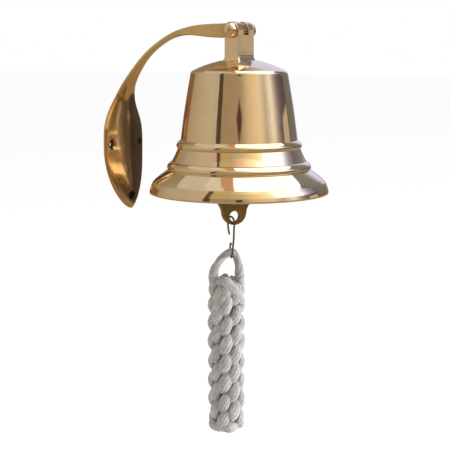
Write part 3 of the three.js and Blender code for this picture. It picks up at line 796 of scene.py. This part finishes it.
def bracket_section(back, out, half, edge, crown):
    """A cross section with a flat back, a rounded rim and a crowned front, in millimetres."""
    rim = min(0.3 * edge, half / 3)
    across = Vector((0, 1, 0))

    def at(y, depth):
        return back + across * y + out * depth

    ring = [at(-half + rim + (2 * half - 2 * rim) * i / 8, 0) for i in range(9)]
    for i in range(1, 5):
        angle = math.pi / 2 * i / 4
        ring.append(at(half - rim + rim * math.sin(angle), rim * (1 - math.cos(angle))))
    front = []
    for i in range(25):
        u = math.cos(math.pi * i / 24)
        depth = edge + (crown - edge) * (1 - KEEL * (u * u + 0.006) ** 0.62 - (1 - KEEL) * u * u)
        soften = rim * max(0.0, (abs(u) - 0.86) / 0.14) ** 2
        front.append(at(u * half, depth - soften))
    ring += front
    for i in range(4, 0, -1):
        angle = math.pi / 2 * i / 4
        ring.append(at(-half + rim - rim * math.sin(angle), rim * (1 - math.cos(angle))))
    return ring


def bracket():
    stations = [Vector((PIVOT.x / MM + x, half, PIVOT.z / MM + z)) for x, z, half, _ in ARM]
    thicknesses = [Vector((thick, 0, 0)) for _, _, _, thick in ARM]
    line = catmull(stations + [Vector((2.6, 12.4, PLATE_TOP))], 6)[: 6 * (len(ARM) - 1) + 1]
    thick_line = catmull(thicknesses, 6)
    rings = []
    for i, (station, thick) in enumerate(zip(line, thick_line)):
        here = Vector((station.x, 0, station.z))
        ahead = line[min(i + 1, len(line) - 1)]
        behind = line[max(i - 1, 0)]
        along = Vector((ahead.x - behind.x, 0, ahead.z - behind.z)).normalized()
        out = Vector((-along.z, 0, along.x))
        crowning = 0.12 * thick.x * min(1.0, max(0.0, (i - 40) / 20))
        back = here - out * thick.x / 2
        rings.append(bracket_section(back, out, station.y, thick.x - crowning, thick.x + crowning))
    for i in range(PLATE_STEPS + 1):
        z = PLATE_TOP + (PLATE_BOTTOM + 0.05 - PLATE_TOP) * math.sin(math.pi / 2 * i / PLATE_STEPS)
        half = leaf_half_width(z)
        crown = PLATE_EDGE + (PLATE_CROWN - PLATE_EDGE) * (half / PLATE_HALF) ** 0.55
        back = Vector((curl(z), 0, z))
        rings.append(bracket_section(back, Vector((1, 0, 0)), half, PLATE_EDGE, crown))
    rings = smoothed_join(rings, len(line))
    casting = loft("bracket_casting", [[p * MM for p in ring] for ring in rings], 50)
    eye_ring = [(TONGUE_BORE, -TONGUE_HALF), (5.8, -TONGUE_HALF), (TONGUE_EYE, -2.7)]
    eye_ring += [(radius, -y) for radius, y in reversed(eye_ring)]
    eye = lathe("eye", [(r * MM, z * MM) for r, z in eye_ring], 64, 30, closed=True)
    turn = Matrix.Translation(PIVOT) @ Matrix.Rotation(math.pi / 2, 4, "X")
    moved(eye, turn)
    radius = TONGUE_BORE * MM
    bore = moved(lathe("bore", [(0, -0.01), (radius, -0.01), (radius, 0.01), (0, 0.01)], 64), turn)
    boolean(casting, bore, "DIFFERENCE")
    for y, z in SCREW_HOLES:
        boolean(casting, screw_hole(y, z), "DIFFERENCE")
    finish_mesh(casting, 32)
    boolean(casting, eye, "UNION")
    finish_mesh(casting, 32)
    casting.name = "wall_bracket_casting"
    darken_bores(casting)
    return casting


def darken_bores(casting):
    """Marks painted shade: full on the screw holes' unpolished walls, less strongly on the plate's
    far half.
    """
    layer = casting.data.attributes.new("shade_and_unpolished", "FLOAT", "POINT")
    values = []
    for vertex in casting.data.vertices:
        y, z, x = vertex.co.y / MM, vertex.co.z / MM, vertex.co.x / MM
        reach = min(math.hypot(y - hole_y, z - hole_z) for hole_y, hole_z in SCREW_HOLES)
        on_plate = x < 20
        # Painted shade: the plate's far half is darkened as a shaded side that mirrors a dark room.
        far_half = 0.62 * min(1.0, max(0.0, (y - 0.5) / 2.0)) if z < 46 and on_plate else 0.0
        values.append(1.0 if on_plate and reach < 4.2 else far_half)
    layer.data.foreach_set("value", values)


def smoothed_join(rings, at):
    """Eases the arm's last rings into the plate's first, point by point."""
    for _ in range(10):
        before = [[p.copy() for p in ring] for ring in rings]
        for r in range(at - 9, at + 9):
            for k in range(len(rings[r])):
                rings[r][k] = before[r][k] * 0.5 + (before[r - 1][k] + before[r + 1][k]) * 0.25
    return rings


def screw_hole(y, z):
    front = curl(z) + PLATE_EDGE + (PLATE_CROWN - PLATE_EDGE) * (1 - (y / PLATE_HALF) ** 2)
    profile = [(0, -30), (SCREW_RADIUS, -30), (SCREW_RADIUS, front - 2.4)]
    profile += [(COUNTERSINK_RADIUS, front + 0.2), (6.4, front + 4), (0, front + 4)]
    hole = lathe("hole", [(r * MM, h * MM) for r, h in profile], 48)
    turn = Matrix.Rotation(math.pi / 2, 4, "Y")
    return moved(hole, Matrix.Translation((0, y * MM, z * MM)) @ turn)


place(bracket(), "bracket", "polished_brass", POLISHED_BRASS, "wall_bracket")


# ---- Yoke and pivot, in millimetres from the pivot ----------------------------------------------
YOKE_DEPTH = 7.1  # half the yoke's length along X, and the radius of its ears
YOKE_HALF_WIDTH = 11.05
SLOT_HALF = 3.45
SLOT_FLOOR = 8  # how far the slot's floor is below the pivot
CROWN_GAP = 24.78  # from the pivot down to the crown
BOLT_BORE = 3.3  # in the ears and in the dome nut
DOME_FACE = 11.35  # the inner face of the bolt's head, and of the dome nut
DOME_BASE = DOME_FACE + 1.6  # where the dome's round part starts
DOME_RADIUS = 6.6
SHANK_RADIUS = 3
SHANK_END = 16.75
HEAD_RISE = 5.6
NUT_RISE = 6.3
NUT_FLOOR = 17.05  # the bottom of the dome nut's blind bore


def yoke():
    depth, half_width, slot = YOKE_DEPTH, YOKE_HALF_WIDTH, SLOT_HALF
    side = [(depth, -CROWN_GAP), (depth, 0)]
    turns = [a * math.pi / 24 for a in range(1, 24)]
    side += [(depth * math.cos(turn), depth * math.sin(turn)) for turn in turns]
    side += [(-depth, 0), (-depth, -CROWN_GAP)]
    rings = [[Vector((x, y, z)) * MM for x, z in side] for y in (-half_width, half_width)]
    block = loft("yoke", rings, 30)
    # The slot's floor is level under the arm and curves up around the tongue's eye in front.
    turns = [math.radians(a) for a in range(0, 65, 8)]
    floor = [(SLOT_FLOOR * math.sin(turn), -SLOT_FLOOR * math.cos(turn)) for turn in turns]
    slot_side = [(-30, -SLOT_FLOOR), *floor, (30, floor[-1][1]), (30, 30), (-30, 30)]
    slot_rings = [[Vector((x, y, z)) * MM for x, z in slot_side] for y in (-slot, slot)]
    boolean(block, loft("slot", slot_rings), "DIFFERENCE")
    bevel_edges(block, 0.7 * MM)
    # The root sweeps out in a small fillet to meet the crown.
    flare = [(0, 1.6), (0.5, 1.5), (0.9, 1.1), (1.6, 0.7), (2.6, 0.35), (4.0, 0.1), (5.4, -0.1)]
    rings = []
    for rise, spread in flare:
        a, b, corner = depth + spread, half_width + spread, 1.0 + 0.8 * max(0, spread)
        ring = []
        for sx, sy, start in ((1, 1, 0), (-1, 1, 90), (-1, -1, 180), (1, -1, 270)):
            for k in range(7):
                angle = math.radians(start + 15 * k)
                x = sx * (a - corner) + corner * math.cos(angle)
                y = sy * (b - corner) + corner * math.sin(angle)
                ring.append(Vector((x, y, rise - CROWN_GAP)) * MM)
        rings.append(ring)
    boolean(block, loft("root", rings, 40), "UNION")
    radius = BOLT_BORE * MM
    bore = lathe("bore", [(0, -0.03), (radius, -0.03), (radius, 0.03), (0, 0.03)], 48)
    boolean(block, moved(bore, Matrix.Rotation(math.pi / 2, 4, "X")), "DIFFERENCE")
    finish_mesh(block, 40)
    flat_faces_first = block.modifiers.new("flat_faces_first", "WEIGHTED_NORMAL")
    flat_faces_first.keep_sharp = True
    applied(block)
    darken_slot(block)
    moved(block, Matrix.Translation(PIVOT))
    block.name = "bell_yoke_block"
    return block


def darken_slot(block):
    """Marks the slot's walls with half-strength painted shade, as a recess; a polishing wheel can't
    reach them either.
    """
    x_reach, y_reach, lowest = YOKE_DEPTH - 0.6, SLOT_HALF + 0.05, -SLOT_FLOOR - 0.05
    values = []
    for vertex in block.data.vertices:
        x, y, z = vertex.co / MM
        values.append(0.5 if abs(x) < x_reach and abs(y) < y_reach and z > lowest else 0.0)
    layer = block.data.attributes.new("shade_and_unpolished", "FLOAT", "POINT")
    layer.data.foreach_set("value", values)


def dome(rise):
    """The rounded outside of the bolt's head and the nut, without its top point."""
    edge = [(5.6, DOME_FACE), (DOME_RADIUS - 0.1, DOME_FACE + 0.7), (DOME_RADIUS, DOME_BASE)]
    turns = [a * math.pi / 32 for a in range(0, 16)]
    cap = [(DOME_RADIUS * math.cos(turn), DOME_BASE + rise * math.sin(turn)) for turn in turns]
    return run(edge, 4) + cap


def pivot_bolt():
    profile = [(0, -SHANK_END), (2.6, -SHANK_END), (SHANK_RADIUS, 0.4 - SHANK_END)]
    profile += [(SHANK_RADIUS, DOME_FACE), (5.6, DOME_FACE)]
    profile += dome(HEAD_RISE)
    profile.append((0, DOME_BASE + HEAD_RISE))
    bolt = lathe("pivot_bolt_turned", [(r * MM, z * MM) for r, z in profile], 64)
    return moved(bolt, Matrix.Translation(PIVOT) @ Matrix.Rotation(math.pi / 2, 4, "X"))


def pivot_nut():
    profile = [(BOLT_BORE, DOME_FACE), (5.6, DOME_FACE)]
    profile += dome(NUT_RISE)
    profile += [(0, DOME_BASE + NUT_RISE), (0, NUT_FLOOR), (BOLT_BORE, NUT_FLOOR)]
    nut = lathe("pivot_nut_turned", [(r * MM, z * MM) for r, z in profile], 64, closed=True)
    return moved(nut, Matrix.Translation(PIVOT) @ Matrix.Rotation(-math.pi / 2, 4, "X"))


place(yoke(), "bell", "polished_brass", YOKE_BRASS, "bell_yoke")
place(pivot_bolt(), "bell", "polished_brass", YOKE_BRASS, "pivot_bolt")
place(pivot_nut(), "bell", "polished_brass", YOKE_BRASS, "pivot_dome_nut")

for node in ("crown_washer", "crown_nut", "clapper_hanger"):
    frame["nodes"][node].data.materials.clear()
    frame["nodes"][node].data.materials.append(CAST_BRASS)


# ---- Clapper ------------------------------------------------------------------------------------
def copy_of(node, name):
    source = frame["nodes"][node]
    obj = bpy.data.objects.new(name, source.data.copy())
    bpy.context.scene.collection.objects.link(obj)
    return obj


def rounded_casting(node, name, voxel, smoothing):
    """The CAD solid again, with its corners rounded as a sand casting's are."""
    obj = copy_of(node, name)
    remesh = obj.modifiers.new("remesh", "REMESH")
    remesh.mode = "VOXEL"
    remesh.voxel_size = voxel
    smooth = obj.modifiers.new("smooth", "SMOOTH")
    smooth.factor = 0.5
    smooth.iterations = smoothing
    applied(obj)
    for polygon in obj.data.polygons:
        polygon.use_smooth = True
    return obj


clapper = rounded_casting("clapper", "clapper_casting", voxel=0.6 * MM, smoothing=8)
place(clapper, "clapper", "cast_brass", CAST_BRASS, "clapper")


# ---- S-hook -------------------------------------------------------------------------------------
WIRE_RADIUS = 0.8
UPPER_BEND = 5.2  # the radius of each of the hook's turns, to the middle of its wire
LOWER_BEND = 6.1


def s_hook():
    r, q = UPPER_BEND, LOWER_BEND
    base = Vector((HOOK_SEAT.x, HOOK_SEAT.y, 0))

    def at(direction, reach, z):
        return base + direction * reach * MM + UP * z

    seat, loop = HOOK_SEAT.z, LOOP_SEAT.z
    upper_turn = [
        at(HOOK_AXIS, -r * math.cos(turn), seat - r * (1 - math.sin(turn)) * MM)
        for turn in map(math.radians, (0, 45, 90, 135))
    ]
    lower_turn = [
        at(LOOP_AXIS, q * math.cos(turn), loop + q * (1 - math.sin(turn)) * MM)
        for turn in map(math.radians, (20, 65, 110, 155, 200, 245, 290))
    ]
    points = [
        at(HOOK_AXIS, -0.5 * r, seat - 3.05 * r * MM),
        at(HOOK_AXIS, -0.88 * r, seat - 2.1 * r * MM),
        *upper_turn,
        at(HOOK_AXIS, r, seat - r * MM),
        at(HOOK_AXIS, 0.9 * r, seat - 2 * r * MM),
        at(HOOK_AXIS, 0.8 * r, loop + 2.6 * q * MM),
        *lower_turn,
    ]
    line = catmull(points, 8)

    def radius_at(share):
        nearest_end = min(share, 1 - share)
        return WIRE_RADIUS * MM * min(1.0, 0.75 + 25 * nearest_end)

    return tube("s_hook_wire", line, radius_at, 16)


place(s_hook(), "hook", "hook_wire", HOOK_WIRE, "s_hook")


# ---- Stage: floor, light and the room that the brass mirrors ------------------------------------
def plain_material(name, color, emission=0.0):
    n = Nodes(name)
    n.shader.inputs["Base Color"].default_value = (*color, 1)
    n.shader.inputs["Roughness"].default_value = 0.9
    if emission:
        n.shader.inputs["Base Color"].default_value = (0, 0, 0, 1)
        n.shader.inputs["Specular IOR Level"].default_value = 0.0
        n.shader.inputs["Emission Color"].default_value = (*color, 1)
        n.shader.inputs["Emission Strength"].default_value = emission
    return n.material


ROOM_RADIUS = 2.4  # the walls that the brass mirrors, in metres from the bell
CARD_RADIUS = 2.3  # smaller cards stand just inside them
CEILING_HEIGHT = 5.2
CEILING_REACH = 9
# The walls' bands meet at these edges: (height behind the object, extra height in front of it).
FLOOR_EDGE = (-0.6, 0)
GROUND_EDGE = (-0.21, 0.56)
WAIST_EDGE = (0.0, 0.97)
MIDDLE_EDGE = (2.2, 0)
CEILING_EDGE = (CEILING_HEIGHT, 0)


def bearing_point(degrees, radius, z):
    bearing = math.radians(degrees)
    direction = to_camera * math.cos(bearing) + image_right * math.sin(bearing)
    return Vector((PIVOT.x, PIVOT.y, z)) + direction * radius


def room_band(name, stops, low, high):
    """A band of wall that shows only as a reflection. Its stops are (bearing, colour): between
    two bearings the colour blends, and two stops at one bearing make a hard edge. Its edges low
    and high are (height behind the object, extra height in front of it)."""

    def height(edge, degrees):
        return edge[0] + edge[1] * math.cos(math.radians(degrees / 2))

    vertices, faces, tones = [], [], []
    for (start, first), (end, second) in zip(stops, stops[1:]):
        if end <= start:
            continue
        steps = max(1, round((end - start) / 2))
        for i in range(steps + 1):
            share = i / steps
            degrees = start + (end - start) * share
            for edge in (low, high):
                vertices.append(bearing_point(degrees, ROOM_RADIUS, height(edge, degrees)))
            tone = [f + (g - f) * share for f, g in zip(first, second)] + [1.0]
            tones += tone + tone
            if i:
                last = len(vertices)
                faces.append((last - 4, last - 2, last - 1, last - 3))
    mesh = bpy.data.meshes.new(name)
    mesh.from_pydata([tuple(v) for v in vertices], [], faces)
    mesh.attributes.new("tone", "FLOAT_COLOR", "POINT").data.foreach_set("color", tones)
    band = bpy.data.objects.new(name, mesh)
    bpy.context.scene.collection.objects.link(band)
    n = Nodes(name)
    n.shader.inputs["Base Color"].default_value = (0, 0, 0, 1)
    n.shader.inputs["Specular IOR Level"].default_value = 0.0
    n.shader.inputs["Emission Strength"].default_value = 1.0
    tone = n.add("ShaderNodeAttribute", attribute_name="tone")
    n.link(tone.outputs["Color"], n.shader.inputs["Emission Color"])
    reflection_only(band, n.material)


def reflection_only(card, material):
    card.data.materials.append(material)
    card.visible_camera = False
    card.visible_shadow = False
    card.visible_diffuse = False


def figure_card():
    """A dark standing shape, widest at its middle, that the waist mirrors near its centre."""
    right_side = ((0.5, 0.73), (2.5, 0.66), (5.5, 0.59), (6.3, 0.54))
    right_side += ((5, 0.48), (2.2, 0.42), (0.5, 0.39))
    outline = right_side + tuple((1 - degrees, z) for degrees, z in right_side[-2:0:-1])
    vertices = [bearing_point(degrees, CARD_RADIUS, z) for degrees, z in outline]
    card = mesh_object("room_figure", vertices, [tuple(range(len(outline)))])
    reflection_only(card, plain_material("room_figure", (0.09, 0.035, 0.035), 1.0))


def side_panel():
    """A low beige panel that the upright faces of the yoke mirror."""
    corners = ((100, 0.05), (118, 0.05), (118, 0.3), (100, 0.3))
    corners = [bearing_point(degrees, CARD_RADIUS, z) for degrees, z in corners]
    card = mesh_object("room_side_panel", corners, [(0, 1, 2, 3)])
    reflection_only(card, plain_material("room_side_panel", (0.55, 0.49, 0.39), 1.0))


def ceiling_card(name, left, right, color, strength):
    """A level panel overhead, from one reach along the image to another."""
    behind, front = -CEILING_REACH, 2
    corners = []
    for along, across in ((front, left), (front, right), (behind, right), (behind, left)):
        foot = Vector((PIVOT.x, PIVOT.y, CEILING_HEIGHT))
        corners.append(foot + to_camera * along + image_right * across)
    card = mesh_object(name, corners, [(0, 1, 2, 3)])
    reflection_only(card, plain_material(name, color, strength))


DARK_EDGE = (0.09, 0.06, 0.045)
GROUND_BAND = [
    (-180, (0.20, 0.10, 0.05)),
    (-128, (0.24, 0.13, 0.07)),
    (-124, (0.43, 0.33, 0.22)),
    (-85, (0.53, 0.46, 0.36)),
    (-46, (0.54, 0.46, 0.35)),
    (-46, DARK_EDGE),
    (-36.5, DARK_EDGE),
    (-36.5, (0.30, 0.23, 0.14)),
    (3, (0.40, 0.31, 0.20)),
    (14, (0.52, 0.40, 0.26)),
    (14, (0.25, 0.17, 0.12)),
    (60, (0.22, 0.16, 0.13)),
    (60, (0.34, 0.28, 0.24)),
    (68, (0.34, 0.28, 0.24)),
    (68, (0.11, 0.085, 0.08)),
    (125, (0.15, 0.12, 0.11)),
    (165, (0.24, 0.20, 0.18)),
    (180, (0.20, 0.10, 0.05)),
]
LOW_BAND = [
    (-180, (0.20, 0.10, 0.05)),
    (-128, (0.24, 0.13, 0.07)),
    (-124, (0.43, 0.33, 0.22)),
    (-105, (0.48, 0.40, 0.29)),
    (-85, (0.53, 0.46, 0.34)),
    (-60, (0.56, 0.49, 0.37)),
    (-46, (0.54, 0.46, 0.35)),
    (-46, DARK_EDGE),
    (-36.5, DARK_EDGE),
    (-36.5, (0.37, 0.29, 0.17)),
    (-20, (0.38, 0.29, 0.20)),
    (3, (0.42, 0.32, 0.22)),
    (10, (0.50, 0.42, 0.28)),
    (17, (0.64, 0.56, 0.36)),
    (29, (0.85, 0.63, 0.42)),
    (43, (0.88, 0.76, 0.53)),
    (50, (0.75, 0.66, 0.50)),
    (57, (0.56, 0.52, 0.43)),
    (64, (0.75, 0.70, 0.62)),
    (71, (1.00, 0.92, 0.85)),
    (76, (0.90, 0.84, 0.78)),
    (84, (0.45, 0.41, 0.44)),
    (93, (0.22, 0.18, 0.22)),
    (102, (0.13, 0.115, 0.14)),
    (115, (0.10, 0.08, 0.09)),
    (125, (0.21, 0.18, 0.17)),
    (149, (0.17, 0.18, 0.18)),
    (165, (0.34, 0.34, 0.37)),
    (180, (0.20, 0.10, 0.05)),
]
MIDDLE_BAND = [
    (-180, (0.26, 0.20, 0.13)),
    (-150, (0.30, 0.25, 0.17)),
    (-124, (0.40, 0.33, 0.25)),
    (-110, (0.46, 0.42, 0.36)),
    (-90, (0.51, 0.45, 0.31)),
    (-73, (0.60, 0.47, 0.38)),
    (-46, (0.60, 0.47, 0.36)),
    (-46, DARK_EDGE),
    (-39, DARK_EDGE),
    (-39, (0.55, 0.42, 0.17)),
    (-17, (0.54, 0.43, 0.23)),
    (-4, (0.54, 0.53, 0.27)),
    (8.5, (0.66, 0.60, 0.38)),
    (21, (0.95, 0.74, 0.45)),
    (34, (1.10, 0.97, 0.55)),
    (46, (1.10, 1.30, 1.15)),
    (52, (1.50, 1.60, 1.90)),
    (88, (1.50, 1.60, 1.90)),
    (96, (0.77, 0.87, 1.35)),
    (104, (0.40, 0.40, 0.50)),
    (118, (0.165, 0.16, 0.21)),
    (150, (0.25, 0.25, 0.25)),
    (158, (0.72, 0.76, 1.05)),
    (174, (0.72, 0.76, 1.05)),
    (180, (0.26, 0.20, 0.13)),
]
HIGH_BAND = [
    (-180, (0.20, 0.14, 0.10)),
    (-160, (0.26, 0.20, 0.14)),
    (-150, (0.62, 0.57, 0.48)),
    (-46, (0.62, 0.58, 0.52)),
    (-46, DARK_EDGE),
    (-41, DARK_EDGE),
    (-41, (0.58, 0.45, 0.30)),
    (-15, (0.60, 0.47, 0.31)),
    (-2, (0.82, 0.60, 0.43)),
    (11, (1.03, 0.81, 0.53)),
    (24, (1.15, 1.16, 0.77)),
    (38, (1.30, 1.40, 1.40)),
    (50, (1.90, 1.90, 1.90)),
    (150, (1.90, 1.90, 1.90)),
    (160, (0.70, 0.74, 1.00)),
    (172, (0.45, 0.42, 0.50)),
    (180, (0.20, 0.14, 0.10)),
]


FLOOR_SIZE = 30.0
FLOOR_DROP = 0.30  # the floor's depth below the braid
BEAM_LEFT, BEAM_RIGHT = -1.08, -0.33  # the ceiling beam's sides, along the image


def stage():
    scene = bpy.context.scene
    scene.view_settings.view_transform = "Standard"
    world = bpy.data.worlds.new("studio")
    world.use_nodes = True
    world.node_tree.nodes["Background"].inputs["Color"].default_value = (1, 1, 1, 1)
    world.node_tree.nodes["Background"].inputs["Strength"].default_value = 1.0
    scene.world = world
    floor_z = BRAID_BOTTOM - FLOOR_DROP
    signs = ((-1, -1), (1, -1), (1, 1), (-1, 1))
    corners = [(sx * FLOOR_SIZE, sy * FLOOR_SIZE, floor_z) for sx, sy in signs]
    floor = mesh_object("floor", corners, [(0, 1, 2, 3)])
    floor.data.materials.append(plain_material("floor", (0.97, 0.97, 0.97)))
    room_band("room_ground_line", GROUND_BAND, FLOOR_EDGE, GROUND_EDGE)
    room_band("room_low", LOW_BAND, GROUND_EDGE, WAIST_EDGE)
    room_band("room_middle", MIDDLE_BAND, WAIST_EDGE, MIDDLE_EDGE)
    room_band("room_high", HIGH_BAND, MIDDLE_EDGE, CEILING_EDGE)
    figure_card()
    side_panel()
    ground_z, ground_reach = floor_z + 0.02, ROOM_RADIUS - 0.05
    ground = lathe("room_ground", [(0, ground_z), (ground_reach, ground_z)], 48)
    moved(ground, Matrix.Translation((PIVOT.x, PIVOT.y, 0)))
    reflection_only(ground, plain_material("room_ground", (0.42, 0.32, 0.21), 1.0))
    ceiling_card("skylight", BEAM_RIGHT, CEILING_REACH, (1.0, 1.0, 1.0), 1.9)
    ceiling_card("ceiling_beam", BEAM_LEFT, BEAM_RIGHT, (0.60, 0.35, 0.20), 1.0)
    ceiling_card("ceiling_left", -CEILING_REACH, BEAM_LEFT, (0.73, 0.70, 0.60), 1.0)
    key_data = bpy.data.lights.new("key", "AREA")
    key_data.energy = 46
    key_data.size = 0.9
    key_data.color = (0.82, 0.91, 1.0)
    key = bpy.data.objects.new("key", key_data)
    scene.collection.objects.link(key)
    key.location = Vector((PIVOT.x, PIVOT.y, 0.1)) + to_camera * 0.15 + image_right * 1.6
    lit = Vector((PIVOT.x, PIVOT.y, -0.15))
    key.rotation_euler = (lit - key.location).to_track_quat("-Z", "Y").to_euler()
    key.visible_glossy = False


stage()
